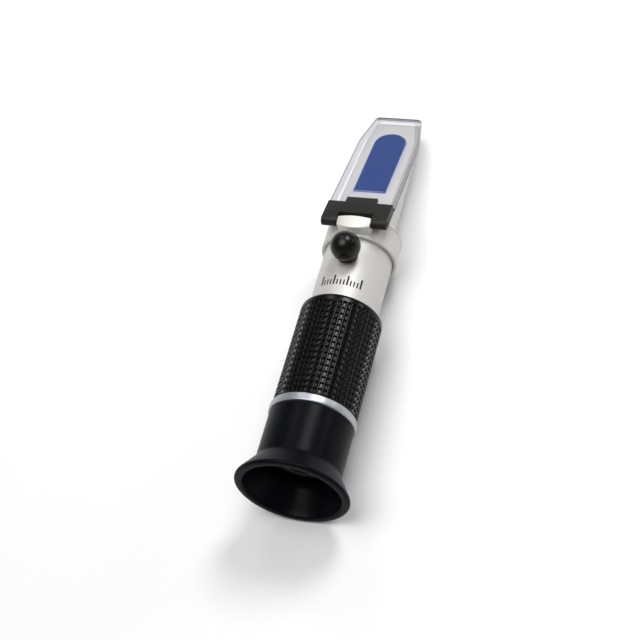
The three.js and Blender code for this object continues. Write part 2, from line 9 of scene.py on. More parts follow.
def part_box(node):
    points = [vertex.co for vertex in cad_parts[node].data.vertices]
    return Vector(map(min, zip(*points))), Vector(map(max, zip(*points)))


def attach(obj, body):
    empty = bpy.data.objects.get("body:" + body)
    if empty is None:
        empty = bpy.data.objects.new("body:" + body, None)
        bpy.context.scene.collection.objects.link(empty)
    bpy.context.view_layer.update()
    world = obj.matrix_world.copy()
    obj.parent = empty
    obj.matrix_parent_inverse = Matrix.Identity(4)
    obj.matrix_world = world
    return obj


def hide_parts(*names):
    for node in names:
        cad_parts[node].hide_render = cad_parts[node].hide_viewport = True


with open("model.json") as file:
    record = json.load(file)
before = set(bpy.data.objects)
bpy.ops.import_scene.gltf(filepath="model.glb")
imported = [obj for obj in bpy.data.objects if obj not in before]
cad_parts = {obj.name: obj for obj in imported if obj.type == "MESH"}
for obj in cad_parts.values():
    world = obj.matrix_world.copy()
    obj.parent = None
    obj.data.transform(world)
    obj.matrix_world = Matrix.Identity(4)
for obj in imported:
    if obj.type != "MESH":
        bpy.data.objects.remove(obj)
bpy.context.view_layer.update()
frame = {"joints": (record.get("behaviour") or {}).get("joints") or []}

# A handheld refractometer. Metres, in the CAD's frame: the optical axis runs along Y from the eyecup (low
# y) to the prism (high y), Z is up on the prism side. Radii are counted from the optical axis.

MM = 0.001
SIDES = 160              # sides of a large turned piece
SHARP = math.radians(32)

CUP, CUP_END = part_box("eyecup")
TRIM, TRIM_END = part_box("trim_ring")
GRIP, GRIP_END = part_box("grip_sleeve")
BARREL, BARREL_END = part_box("main_barrel")
HOUSING, HOUSING_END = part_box("prism_housing")
PLATE_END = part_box("daylight_plate")[1]
SCREW, SCREW_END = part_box("calibration_screw")
CAP, CAP_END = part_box("screw_cap")

AXIS_Z = (CUP.z + CUP_END.z) / 2
RIM_Y = CUP.y
SCREW_Y = (SCREW.y + SCREW_END.y) / 2

JOINTS = {joint["name"]: joint for joint in frame["joints"]}
HINGE = Vector(JOINTS["cover_hinge"]["pos_m"])

# The slope that carries the prism and, a little above it, the daylight plate. Its own frame has X across,
# Y down the slope and Z off it.
SLOPE_ANGLE = math.radians(14.33)
SLOPE_ORIGIN = Vector((0, RIM_Y + 114.9 * MM, AXIS_Z + 12.25 * MM))
SLOPE = Matrix.Translation(SLOPE_ORIGIN) @ Matrix.Rotation(-SLOPE_ANGLE, 4, "X")
METAL_TOP = -2.4 * MM
PRISM_TOP = -1.1 * MM
PLATE_BOTTOM = -0.8 * MM
PLATE_TOP = 1.2 * MM
BRACKET_TOP = 2.7 * MM
BRACKET_END = -3.35 * MM
PIN_HOLE = 0.9 * MM


# ---- Camera, light and floor ----

CAMERA_PLACE = (0.1555, -0.3178, 0.4762)
CAMERA_TURN = (35.84, 10.40, 14.17)      # degrees about X, Y and Z
CAMERA_LENS = 90.3                       # millimetres, on a sensor 36 mm wide
LIT_PLACE = Vector((0, 0, 0.02))         # the area lights aim here

# name, place, size and power of each area light
AREA_LIGHTS = [("key", (0.24, 0.48, 0.82), (0.3, 0.3), 5.0),
               ("left", (-0.36, 0.5, 0.74), (0.25, 0.25), 0.8),
               ("right", (0.75, 0.5, 0.45), (0.2, 0.2), 0.7)]


def make_camera():
    data = bpy.data.cameras.new("camera")
    data.sensor_width = 36
    data.lens = CAMERA_LENS
    camera = bpy.data.objects.new("camera", data)
    camera.location = CAMERA_PLACE
    camera.rotation_euler = [math.radians(angle) for angle in CAMERA_TURN]
    bpy.context.scene.collection.objects.link(camera)
    bpy.context.scene.camera = camera


def area_light(name, place, size, power):
    data = bpy.data.lights.new(name, "AREA")
    data.shape = "RECTANGLE"
    data.size, data.size_y = size
    data.energy = power
    light = bpy.data.objects.new(name, data)
    light.location = place
    light.rotation_euler = (LIT_PLACE - Vector(place)).to_track_quat("-Z", "Y").to_euler()
    bpy.context.scene.collection.objects.link(light)


def wide_sun(place, strength, spread):
    """An even light over the whole floor, from the direction of a place; spread is in degrees."""
    data = bpy.data.lights.new("sun", "SUN")
    data.energy = strength
    data.angle = math.radians(spread)
    light = bpy.data.objects.new("sun", data)
    light.location = place
    light.rotation_euler = (-Vector(place)).to_track_quat("-Z", "Y").to_euler()
    bpy.context.scene.collection.objects.link(light)


def make_world():
    """Bright at the horizon, darker overhead, so that the black rubber stays black."""
    world = bpy.data.worlds.new("studio")
    world.use_nodes = True
    bpy.context.scene.world = world
    nodes, links = world.node_tree.nodes, world.node_tree.links
    place = nodes.new("ShaderNodeTexCoord")
    split = nodes.new("ShaderNodeSeparateXYZ")
    ramp = nodes.new("ShaderNodeValToRGB")
    ramp.color_ramp.elements[0].position = 0.04
    ramp.color_ramp.elements[0].color = (0.7, 0.7, 0.71, 1)
    ramp.color_ramp.elements[1].position = 0.3
    ramp.color_ramp.elements[1].color = (0.17, 0.17, 0.175, 1)
    links.new(place.outputs["Generated"], split.inputs[0])
    links.new(split.outputs["Z"], ramp.inputs["Fac"])
    links.new(ramp.outputs["Color"], nodes["Background"].inputs["Color"])
    nodes["Background"].inputs["Strength"].default_value = 1.0


def make_floor():
    """A pale floor under the eyecup's rim and the collar, the two things that the instrument lies on. The
    CAD's axis is level, so it is the floor that slopes."""
    collar_bottom = HOUSING.z
    rise = math.atan2(collar_bottom, COLLAR_END_Y - RIM_Y)
    lip, gap = 1.2 * MM, 0.2 * MM            # the lip touches this far behind the rim's front
    bm = bmesh.new()
    bmesh.ops.create_grid(bm, x_segments=8, y_segments=8, size=6)
    mesh = bpy.data.meshes.new("floor")
    bm.to_mesh(mesh)
    bm.free()
    floor = bpy.data.objects.new("floor", mesh)
    floor.matrix_world = Matrix.Translation((0, RIM_Y + lip, -gap)) @ Matrix.Rotation(rise, 4, "X")
    bpy.context.scene.collection.objects.link(floor)
    mesh.materials.append(floor_material())


# ---- Materials ----

class Look:
    """A node material round one Principled shader, built up step by step."""

    def __init__(self, name, colour, roughness, metallic=0.0, **sockets):
        self.material = bpy.data.materials.new(name)
        self.material.use_nodes = True
        self.tree = self.material.node_tree
        self.shader = self.tree.nodes["Principled BSDF"]
        self.normal = None
        self.set("Base Color", (*colour, 1))
        self.set("Roughness", roughness)
        self.set("Metallic", metallic)
        for socket, value in sockets.items():
            self.set(socket.replace("_", " "), value)

    def set(self, socket, value):
        self.shader.inputs[socket].default_value = value

    def node(self, kind, **values):
        made = self.tree.nodes.new(kind)
        for key, value in values.items():
            if key in made.inputs:
                made.inputs[key].default_value = value
            else:
                setattr(made, key, value)
        return made

    def place(self):
        return self.node("ShaderNodeTexCoord").outputs["Object"]

    def noise(self, scale, detail=3.0):
        texture = self.node("ShaderNodeTexNoise", Scale=scale, Detail=detail)
        self.tree.links.new(self.place(), texture.inputs["Vector"])
        return texture.outputs["Fac"]

    def radial_noise(self, scale, detail):
        """Noise that runs in rings round the optical axis, as turning marks do."""
        split = self.node("ShaderNodeSeparateXYZ")
        self.tree.links.new(self.place(), split.inputs[0])
        join = self.node("ShaderNodeCombineXYZ")
        self.tree.links.new(split.outputs["Y"], join.inputs["Y"])
        texture = self.node("ShaderNodeTexNoise", Scale=scale, Detail=detail)
        self.tree.links.new(join.outputs[0], texture.inputs["Vector"])
        return texture.outputs["Fac"]

    def vary(self, socket, source, low, high):
        """Spreads a 0 to 1 texture between two values or two colours of a socket."""
        if isinstance(low, tuple):
            ramp = self.node("ShaderNodeValToRGB")
            ramp.color_ramp.elements[0].position = 0.3
            ramp.color_ramp.elements[0].color = (*low, 1)
            ramp.color_ramp.elements[1].position = 0.7
            ramp.color_ramp.elements[1].color = (*high, 1)
            self.tree.links.new(source, ramp.inputs["Fac"])
            self.tree.links.new(ramp.outputs["Color"], self.shader.inputs[socket])
            return
        spread = self.node("ShaderNodeMapRange")
        spread.inputs["From Min"].default_value = 0.3
        spread.inputs["From Max"].default_value = 0.7
        spread.inputs["To Min"].default_value = low
        spread.inputs["To Max"].default_value = high
        self.tree.links.new(source, spread.inputs["Value"])
        self.tree.links.new(spread.outputs["Result"], self.shader.inputs[socket])

    def let_lamps_through(self, tint):
        """Light from the lamps passes straight through the piece to what lies under it."""
        path = self.node("ShaderNodeLightPath")
        either = self.node("ShaderNodeMath", operation="MAXIMUM")
        clear = self.node("ShaderNodeBsdfTransparent", Color=(*tint, 1))
        mix = self.node("ShaderNodeMixShader")
        self.tree.links.new(path.outputs["Is Shadow Ray"], either.inputs[0])
        self.tree.links.new(path.outputs["Is Diffuse Ray"], either.inputs[1])
        self.tree.links.new(either.outputs[0], mix.inputs[0])
        self.tree.links.new(self.shader.outputs[0], mix.inputs[1])
        self.tree.links.new(clear.outputs[0], mix.inputs[2])
        self.tree.links.new(mix.outputs[0], self.tree.nodes["Material Output"].inputs["Surface"])

    def bump(self, source, height, strength=1.0):
        bump = self.node("ShaderNodeBump", Strength=strength, Distance=height)
        self.tree.links.new(source, bump.inputs["Height"])
        if self.normal:
            self.tree.links.new(self.normal, bump.inputs["Normal"])
        self.normal = bump.outputs["Normal"]
        self.tree.links.new(self.normal, self.shader.inputs["Normal"])


def floor_material():
    look = Look("floor", (0.79, 0.79, 0.795), 0.7)
    look.vary("Base Color", look.noise(6), (0.78, 0.78, 0.785), (0.8, 0.8, 0.805))
    return look.material


def turned_metal(name, colour, darker, roughness, line_height, metallic):
    """Satin metal with fine turning lines round the axis and a bead-blasted grain."""
    look = Look(name, colour, roughness, metallic)
    lines = look.radial_noise(5200, 4)
    look.vary("Roughness", lines, roughness - 0.06, roughness + 0.08)
    look.vary("Base Color", look.noise(260, 5), darker, colour)
    look.bump(lines, line_height, 0.6)
    look.bump(look.noise(7000, 2), line_height, 0.5)
    return look.material


def cast_metal(name, colour, darker, roughness, metallic):
    look = Look(name, colour, roughness, metallic)
    look.vary("Base Color", look.noise(180, 5), darker, colour)
    look.vary("Roughness", look.noise(900, 4), roughness - 0.05, roughness + 0.09)
    look.bump(look.noise(3800, 4), 0.02 * MM, 0.6)
    return look.material


def rubber(name, colour, roughness, grain, shine=0.4):
    look = Look(name, colour, roughness, Specular_IOR_Level=shine)
    paler = tuple(channel * 1.3 + 0.001 for channel in colour)
    look.vary("Base Color", look.noise(150, 4), colour, paler)
    look.vary("Roughness", look.noise(420, 4), roughness - 0.02, roughness + 0.04)
    look.bump(look.noise(2600, 4), grain)
    return look.material


def plain_metal(name, colour, roughness):
    look = Look(name, colour, roughness, 1.0)
    look.vary("Roughness", look.noise(1500, 4), roughness - 0.06, roughness + 0.1)
    look.bump(look.noise(4200, 3), 0.008 * MM, 0.5)
    return look.material


def bracket_plastic():
    look = Look("bracket_plastic", (0.01, 0.0105, 0.009), 0.5, Specular_IOR_Level=0.25)
    look.vary("Base Color", look.noise(300, 4), (0.009, 0.0095, 0.008), (0.012, 0.0125, 0.011))
    look.vary("Roughness", look.noise(700, 4), 0.44, 0.58)
    look.bump(look.noise(3400, 5), 0.03 * MM)
    return look.material


def clear_acrylic():
    look = Look("plate_acrylic", (0.93, 0.93, 0.95), 0.03, Transmission_Weight=1.0, IOR=1.49)
    look.vary("Roughness", look.noise(140, 5), 0.015, 0.05)
    look.let_lamps_through((0.93, 0.93, 0.95))
    return look.material


def edge_shade_acrylic(name, colour, clear):
    """The plate's edges: less clear than its faces, and darker, a painted shade that stands in for the dark
    lines the clear edges show by refraction.
    """
    look = Look(name, colour, 0.3, Transmission_Weight=clear, IOR=1.49)
    look.vary("Roughness", look.noise(700, 4), 0.22, 0.4)
    look.let_lamps_through((0.85, 0.85, 0.88))
    return look.material


def rim_shade_acrylic():
    """The plate's rim seen from its face, made a little grey: painted shade for the grey band that refraction
    at the rim shows.
    """
    look = Look("plate_rim_shade", (0.5, 0.5, 0.54), 0.05, Transmission_Weight=1.0, IOR=1.49)
    look.vary("Roughness", look.noise(140, 5), 0.03, 0.08)
    look.let_lamps_through((0.93, 0.93, 0.95))
    return look.material


def blue_prism():
    look = Look("prism_glass", (0.024, 0.06, 0.215), 0.12, IOR=1.5)
    look.vary("Base Color", look.noise(55, 3), (0.021, 0.055, 0.2), (0.028, 0.066, 0.235))
    look.vary("Roughness", look.noise(300, 4), 0.08, 0.16)
    return look.material


def cement():
    look = Look("prism_cement", (0.54, 0.54, 0.66), 0.4)
    look.vary("Base Color", look.noise(420, 5), (0.5, 0.5, 0.62), (0.58, 0.58, 0.7))
    look.bump(look.noise(900, 4), 0.04 * MM)
    return look.material


def lens_glass():
    look = Look("optical_glass", (0.93, 0.97, 0.975), 0.01, Transmission_Weight=1.0, IOR=1.52,
                Coat_Weight=0.6, Coat_Tint=(0.72, 0.8, 1.0, 1))
    look.vary("Roughness", look.noise(200, 3), 0.005, 0.02)
    return look.material


def print_ink():
    look = Look("print_ink", (0.02, 0.018, 0.018), 0.6, Specular_IOR_Level=0.1)
    look.vary("Base Color", look.noise(1800, 4), (0.012, 0.011, 0.011), (0.045, 0.042, 0.04))
    return look.material


def make_materials():
    return {
        "barrel_aluminium": turned_metal("barrel_aluminium", (0.56, 0.545, 0.525), (0.53, 0.515, 0.495), 0.5,
                                         0.003 * MM, 0.4),
        "trim_aluminium": turned_metal("trim_aluminium", (0.39, 0.405, 0.43), (0.365, 0.38, 0.405), 0.37,
                                       0.001 * MM, 0.75),
        "housing_metal": cast_metal("housing_metal", (0.58, 0.575, 0.54), (0.55, 0.545, 0.51), 0.5, 0.35),
        "lug_metal": cast_metal("lug_metal", (0.66, 0.645, 0.6), (0.63, 0.615, 0.57), 0.5, 0.3),
        "grip_rubber": rubber("grip_rubber", (0.0018, 0.0017, 0.0014), 0.2, 0.003 * MM, 0.15),
        "eyecup_rubber": rubber("eyecup_rubber", (0.0018, 0.002, 0.003), 0.33, 0.004 * MM, 0.05),
        "cap_rubber": rubber("cap_rubber", (0.0034, 0.0028, 0.0022), 0.27, 0.004 * MM, 0.22),
        "seal_rubber": rubber("seal_rubber", (0.012, 0.012, 0.012), 0.5, 0.02 * MM),
        "bracket_plastic": bracket_plastic(),
        "plate_acrylic": clear_acrylic(),
        # the plate's chamfers and tip wall are darker than the clear plate: painted shade for the dark lines
        # its edges show by refraction
        "plate_edge_shade": edge_shade_acrylic("plate_edge_shade", (0.32, 0.32, 0.36), 0.2),
        "plate_end_shade": edge_shade_acrylic("plate_end_shade", (0.15, 0.15, 0.165), 0.1),
        # the plate's bottom rim band is tinted grey: painted shade for the grey band its edge shows by
        # refraction
        "plate_rim_shade": rim_shade_acrylic(),
        "prism_glass": blue_prism(),
        "cement": cement(),
        "optical_glass": lens_glass(),
        "black_anodised": turned_metal("black_anodised", (0.03, 0.03, 0.032), (0.024, 0.024, 0.026), 0.42,
                                       0.006 * MM, 0.6),
        "steel": plain_metal("steel", (0.56, 0.56, 0.57), 0.28),
        "brass": plain_metal("brass", (0.72, 0.55, 0.27), 0.3),
        "bimetal": plain_metal("bimetal", (0.5, 0.45, 0.39), 0.35),
        "print_ink": print_ink(),
    }


# ---- Mesh helpers ----

def finish_piece(name, bm, body, material, replaces=()):
    """Turns a bmesh into a shaded piece that rides on a body and stands for CAD nodes."""
    bmesh.ops.remove_doubles(bm, verts=bm.verts, dist=1e-7)
    bmesh.ops.recalc_face_normals(bm, faces=bm.faces)
    mesh = bpy.data.meshes.new(name)
    bm.to_mesh(mesh)
    bm.free()
    mesh.polygons.foreach_set("use_smooth", [True] * len(mesh.polygons))
    mesh.set_sharp_from_angle(angle=SHARP)
    mesh.materials.append(MATERIALS[material])
    obj = bpy.data.objects.new(name, mesh)
    bpy.context.scene.collection.objects.link(obj)
    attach(obj, body)
    if replaces:
        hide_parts(*replaces)
    return obj


def soft_corners(corners, size=0.25 * MM, steps=3):
    """Rounds the corners of an outline. A corner may carry its own size as a third value."""
    made = []
    count = len(corners)
    for i, corner in enumerate(corners):
        here = Vector(corner[:2])
        cut = corner[2] if len(corner) > 2 else size
        before = Vector(corners[i - 1][:2]) - here
        after = Vector(corners[(i + 1) % count][:2]) - here
        cut = min(cut, 0.48 * before.length, 0.48 * after.length)
        if cut < 1e-6 or here.x < 1e-6:
            made.append(tuple(here))
            continue
        start = here + before.normalized() * cut
        end = here + after.normalized() * cut
        for step in range(steps + 1):
            t = step / steps
            made.append(tuple(start * (1 - t) ** 2 + here * 2 * t * (1 - t) + end * t * t))
    return made


def turn(outline, sides=SIDES, closed=True):
    """A bmesh of an outline of (radius, y) turned about the optical axis."""
    bm = bmesh.new()
    rings = []
    for radius, y in outline:
        if radius < 1e-6:
            rings.append([bm.verts.new((0, y, AXIS_Z))])
            continue
        angles = [2 * math.pi * i / sides for i in range(sides)]
        rings.append([bm.verts.new((radius * math.sin(a), y, AXIS_Z + radius * math.cos(a))) for a in angles])
    join_rings(bm, rings, closed)
    return bm


def join_rings(bm, rings, closed):
    """Faces between neighbouring rings of vertices; a ring of one vertex is a pole."""
    pairs = list(zip(rings, rings[1:]))
    if closed:
        pairs.append((rings[-1], rings[0]))
    for low, high in pairs:
        count = max(len(low), len(high))
        if count == 1:
            continue
        for i in range(count):
            j = (i + 1) % count
            corners = [low[i % len(low)], low[j % len(low)], high[j % len(high)], high[i % len(high)]]
            unique = list(dict.fromkeys(corners))
            if len(unique) > 2:
                bm.faces.new(unique)


def upright(bm, y):
    """Stands a turned bmesh up: its axis becomes vertical at a place on the barrel, heights stay heights."""
    matrix = Matrix.Translation((0, y, AXIS_Z)) @ Matrix.Rotation(math.pi / 2, 4, "X")
    bmesh.ops.transform(bm, matrix=matrix @ Matrix.Translation((0, 0, -AXIS_Z)), verts=bm.verts)
    return bm


def crosswise(bm, place):
    """Lays a turned bmesh across: its axis becomes parallel to X, through a place."""
    turned = Matrix.Rotation(math.pi / 2, 4, "Z") @ Matrix.Translation((0, 0, -AXIS_Z))
    bmesh.ops.transform(bm, matrix=Matrix.Translation(place) @ turned, verts=bm.verts)
    return bm


def rod(radius, low, high, sides=32):
    """A plain round bar along the optical axis, used as a tool for holes and recesses."""
    return turn([(0, low), (radius, low), (radius, high), (0, high)], sides, False)


def middle_y(node):
    low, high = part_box(node)
    return (low.y + high.y) / 2


def tube_outline(radius, bore, start, end, edge):
    return soft_corners([(radius, start), (radius, end), (bore, end), (bore, start)], edge)


def loft(outlines, matrix=Matrix.Identity(4), capped=True):
    """Skins outlines that have the same number of (x, y, z) points, and caps both ends."""
    bm = bmesh.new()
    rings = [[bm.verts.new(matrix @ Vector(point)) for point in outline] for outline in outlines]
    join_rings(bm, rings, False)
    if capped:
        bm.faces.new(rings[0])
        bm.faces.new(rings[-1])
    else:
        join_rings(bm, [rings[-1], rings[0]], False)
    return bm


def block(low, high):
    bm = bmesh.new()
    bmesh.ops.create_cube(bm, size=1)
    low, high = Vector(low), Vector(high)
    size = Matrix.Diagonal((*(high - low), 1))
    bmesh.ops.transform(bm, matrix=Matrix.Translation((low + high) / 2) @ size, verts=bm.verts)
    return bm


def bevel_edges(bm, width, segments=2, angle=SHARP):
    edges = [e for e in bm.edges if len(e.link_faces) == 2 and e.calc_face_angle(0) > angle]
    bmesh.ops.bevel(bm, geom=edges, offset=width, segments=segments, profile=0.5, affect="EDGES",
                    clamp_overlap=True)
    return bm


def as_object(bm, name):
    """A closed bmesh as an object with its faces pointing out. The bmesh is kept."""
    bmesh.ops.remove_doubles(bm, verts=bm.verts, dist=1e-6)
    bmesh.ops.recalc_face_normals(bm, faces=bm.faces)
    if bm.calc_volume(signed=True) < 0:
        bmesh.ops.reverse_faces(bm, faces=bm.faces)
    mesh = bpy.data.meshes.new(name)
    bm.to_mesh(mesh)
    obj = bpy.data.objects.new(name, mesh)
    bpy.context.scene.collection.objects.link(obj)
    return obj


def boolean(bm, tool, operation, solver):
    """The result of one boolean between two closed bmeshes."""
    target, other = as_object(bm, "cut_target"), as_object(tool, "cut_tool")
    modifier = target.modifiers.new("cut", "BOOLEAN")
    modifier.operation = operation
    modifier.solver = solver
    modifier.object = other
    bpy.context.view_layer.update()
    graph = bpy.context.evaluated_depsgraph_get()
    made = bmesh.new()
    made.from_mesh(target.evaluated_get(graph).to_mesh())
    for obj in (target, other):
        mesh = obj.data
        bpy.data.objects.remove(obj)
        bpy.data.meshes.remove(mesh)
    return made


def cut(bm, *tools, operation="DIFFERENCE"):
    """Subtracts other closed bmeshes, or joins them, one after another. A result that grew when it should
    shrink, or the other way round, is made again with the other solver, whose result isn't tested."""
    for tool in tools:
        made = boolean(bm, tool, operation, "EXACT")
        shrank = made.calc_volume() < bm.calc_volume()
        if shrank != (operation == "DIFFERENCE"):
            made.free()
            made = boolean(bm, tool, operation, "FAST")
        bm.free()
        tool.free()
        bm = made
    return bm


def arc_points(centre, radius, start, end, steps):
    """Points on an arc in a plane, angles in degrees."""
    made = []
    for i in range(steps + 1):
        angle = math.radians(start + (end - start) * i / steps)
        made.append((centre[0] + radius * math.cos(angle), centre[1] + radius * math.sin(angle)))
    return made


# ---- Eyepiece ----

def eyecup():
    """Rubber cup: straight body, a straight flare that springs from a crease, and a broad rounded lip."""
    radius = CUP_END.x
    body = 14.93 * MM
    bore = 12.4 * MM

    def at(r, t, *corner):
        return (r, RIM_Y + t * MM, *corner)

    corners = [
        at(body, 27.3, 0.5 * MM),
        at(body, 8.7, 0.9 * MM),
        at(radius - 0.1 * MM, 1.3, 0.5 * MM),
        at(radius, 0.6, 0.3 * MM),
        at(radius - 0.55 * MM, 0.12, 0.4 * MM),
        at(radius - 1.7 * MM, 0.0, 0.6 * MM),
        at(radius - 2.8 * MM, 0.15, 0.5 * MM),
        at(radius - 3.3 * MM, 1.6, 1.0 * MM),
        at(bore + 0.5 * MM, 8.9, 1.6 * MM),
        at(bore, 10.9, 0.2 * MM),
        at(bore, 27.3, 0.3 * MM),
    ]
    finish_piece("eyecup_rubber_cup", turn(soft_corners(corners, steps=6)), "eyepiece",
                 "eyecup_rubber", replaces=["eyecup"])


def threaded_sleeve():
    """Focus sleeve: plain collar held in the cup, a five-start thread, a seal groove and a plain nose."""
    low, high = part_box("focus_sleeve")
    grip_radius = high.x
    radius = 10.9 * MM
    bore = 9.3 * MM
    shoulder = RIM_Y + 27 * MM
    groove = (RIM_Y + 38 * MM, RIM_Y + 39.2 * MM)
    groove_radius = 9.95 * MM
    thread = (shoulder + 0.5 * MM, groove[0] - 1.0 * MM)
    lead, starts, depth = 5.0 * MM, 5, 0.32 * MM
    pitch = lead / starts

    outline = [(bore, low.y), (grip_radius - 0.2 * MM, low.y), (grip_radius, low.y + 0.2 * MM),
               (grip_radius, shoulder), (radius, shoulder)]
    rows = int((thread[1] - thread[0]) / (pitch / 6))
    outline += [(radius, thread[0] + (thread[1] - thread[0]) * i / rows) for i in range(rows + 1)]
    outline += [(radius, groove[0]), (groove_radius, groove[0]), (groove_radius, groove[1]),
                (radius, groove[1]), (radius, high.y - 0.3 * MM), (radius - 0.3 * MM, high.y), (bore, high.y)]
    bm = turn(outline)
    for vert in bm.verts:
        x, y, z = vert.co.x, vert.co.y, vert.co.z - AXIS_Z
        if not (thread[0] - 1e-6 < y < thread[1] + 1e-6) or math.hypot(x, z) < radius - 1e-5:
            continue
        turns = y / pitch + starts * math.atan2(x, z) / (2 * math.pi)
        fade = min(1, (y - thread[0]) / pitch, (thread[1] - y) / pitch)
        wave = abs((turns % 1) * 2 - 1)
        scale = 1 - fade * depth * wave / radius
        vert.co.x, vert.co.z = x * scale, AXIS_Z + z * scale
    finish_piece("focus_sleeve_threaded", bm, "eyepiece", "black_anodised", replaces=["focus_sleeve"])


def round_section_ring(name, node, body, material, section):
    """A rubber ring of round section that fills the box of its CAD node."""
    low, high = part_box(node)
    radius = high.x - section
    middle = (low.y + high.y) / 2
    outline = arc_points((radius, middle), section, 0, 337.5, 15)
    finish_piece(name, turn(outline, 96), body, material, replaces=[node])


def lens(name, node, body, dome):
    """A lens with two shallow domes and a ground edge."""
    low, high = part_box(node)
    radius = high.x
    steps = 14
    near = [(radius * i / steps, low.y + dome * (i / steps) ** 2) for i in range(steps + 1)]
    far = [(radius * i / steps, high.y - dome * (i / steps) ** 2) for i in range(steps, -1, -1)]
    finish_piece(name, turn(near + far, 96, closed=False), body, "optical_glass", replaces=[node])


def turned_tube(name, node, body, material, bore):
    low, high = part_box(node)
    bm = turn(tube_outline(high.x, bore, low.y, high.y, 0.15 * MM), 96)
    finish_piece(name, bm, body, material, replaces=[node])


def retaining_ring():
    """A slotted ring nut that holds the eye lens: two slots take a pin spanner."""
    low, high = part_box("lens_retaining_ring")
    bore = high.x - 1.4 * MM
    bm = turn(tube_outline(high.x, bore, low.y, high.y, 0.15 * MM), 96)
    slot_half = 0.55 * MM
    slots = [block((side * bore * 0.9 if side > 0 else -high.x - MM, low.y - MM, AXIS_Z - slot_half),
                   (high.x + MM if side > 0 else -bore * 0.9, low.y + 0.7 * MM, AXIS_Z + slot_half))
             for side in (1, -1)]
    finish_piece("lens_ring_nut", cut(bm, *slots), "focus_carriage", "black_anodised",
                 replaces=["lens_retaining_ring"])


def lens_cell():
    """Keyed tube that holds the lenses, with a stepped bore."""
    low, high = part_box("lens_cell")
    radius, bore, step_bore = high.x, 7.9 * MM, 7.0 * MM
    step = RIM_Y + 32 * MM
    corners = [(radius, low.y), (radius, high.y), (step_bore, high.y), (step_bore, step), (bore, step),
               (bore, low.y + 0.4 * MM), (bore + 0.4 * MM, low.y)]
    bm = turn(soft_corners(corners, 0.15 * MM), 96)
    pin_radius, below, above = 1.2 * MM, -12 * MM, -6 * MM
    pin_hole = upright(rod(pin_radius, below, above), RIM_Y + 47.5 * MM)
    finish_piece("lens_cell_tube", cut(bm, pin_hole), "focus_carriage", "black_anodised",
                 replaces=["lens_cell"])


def guide_pin():
    low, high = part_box("focus_guide_pin")
    radius = high.x
    bottom, top = low.z - AXIS_Z, high.z - AXIS_Z
    corners = [(0, bottom), (radius, bottom, 0.3 * MM), (radius, top, 0.3 * MM), (0, top)]
    bm = upright(turn(soft_corners(corners), 40, closed=False), middle_y("focus_guide_pin"))
    finish_piece("focus_key_pin", bm, "focus_carriage", "steel", replaces=["focus_guide_pin"])


def make_eyepiece():
    eyecup()
    threaded_sleeve()
    round_section_ring("focus_o_ring", "focus_seal_ring", "eyepiece", "seal_rubber", 0.4 * MM)
    lens_cell()
    guide_pin()
    retaining_ring()
    lens("eye_lens_glass", "eye_lens", "focus_carriage", 1.3 * MM)
    lens("field_lens_glass", "field_lens", "focus_carriage", 1.2 * MM)
    turned_tube("lens_spacer_tube", "lens_spacer", "focus_carriage", "black_anodised", 6.8 * MM)


# ---- Barrel, trim ring and knurled grip ----

def barrel():
    """Satin tube with the guide pin's keyway underneath and the hole for the screw bush on top."""
    radius = BARREL_END.x
    bore = 11.2 * MM
    bm = turn(tube_outline(radius, bore, BARREL.y, BARREL_END.y, 0.25 * MM), SIDES)
    inside, outside = 9 * MM, 14 * MM        # heights on either side of the wall
    key_half, key_start, key_end = 1.3 * MM, RIM_Y + 41.6 * MM, RIM_Y + 48.8 * MM
    keyway = block((-key_half, key_start, AXIS_Z - outside), (key_half, key_end, AXIS_Z - inside))
    low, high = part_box("screw_bush")
    hole_radius = (high.x - low.x) / 2 + 0.05 * MM
    hole = upright(rod(hole_radius, inside, outside, 64), SCREW_Y)
    finish_piece("barrel_tube", cut(bm, keyway, hole), "barrel", "barrel_aluminium",
                 replaces=["main_barrel"])


def trim_ring():
    radius = TRIM_END.x
    bore = BARREL_END.x + 0.05 * MM
    start, end = TRIM.y - 0.15 * MM, TRIM_END.y + 0.25 * MM
    crown = radius + 0.05 * MM
    corners = [(radius, start, 0.4 * MM), (crown, (start + end) / 2, MM), (radius, end, 0.4 * MM),
               (bore, end), (bore, start)]
    finish_piece("bright_trim_ring", turn(soft_corners(corners, steps=5)), "barrel", "trim_aluminium",
                 replaces=["trim_ring"])


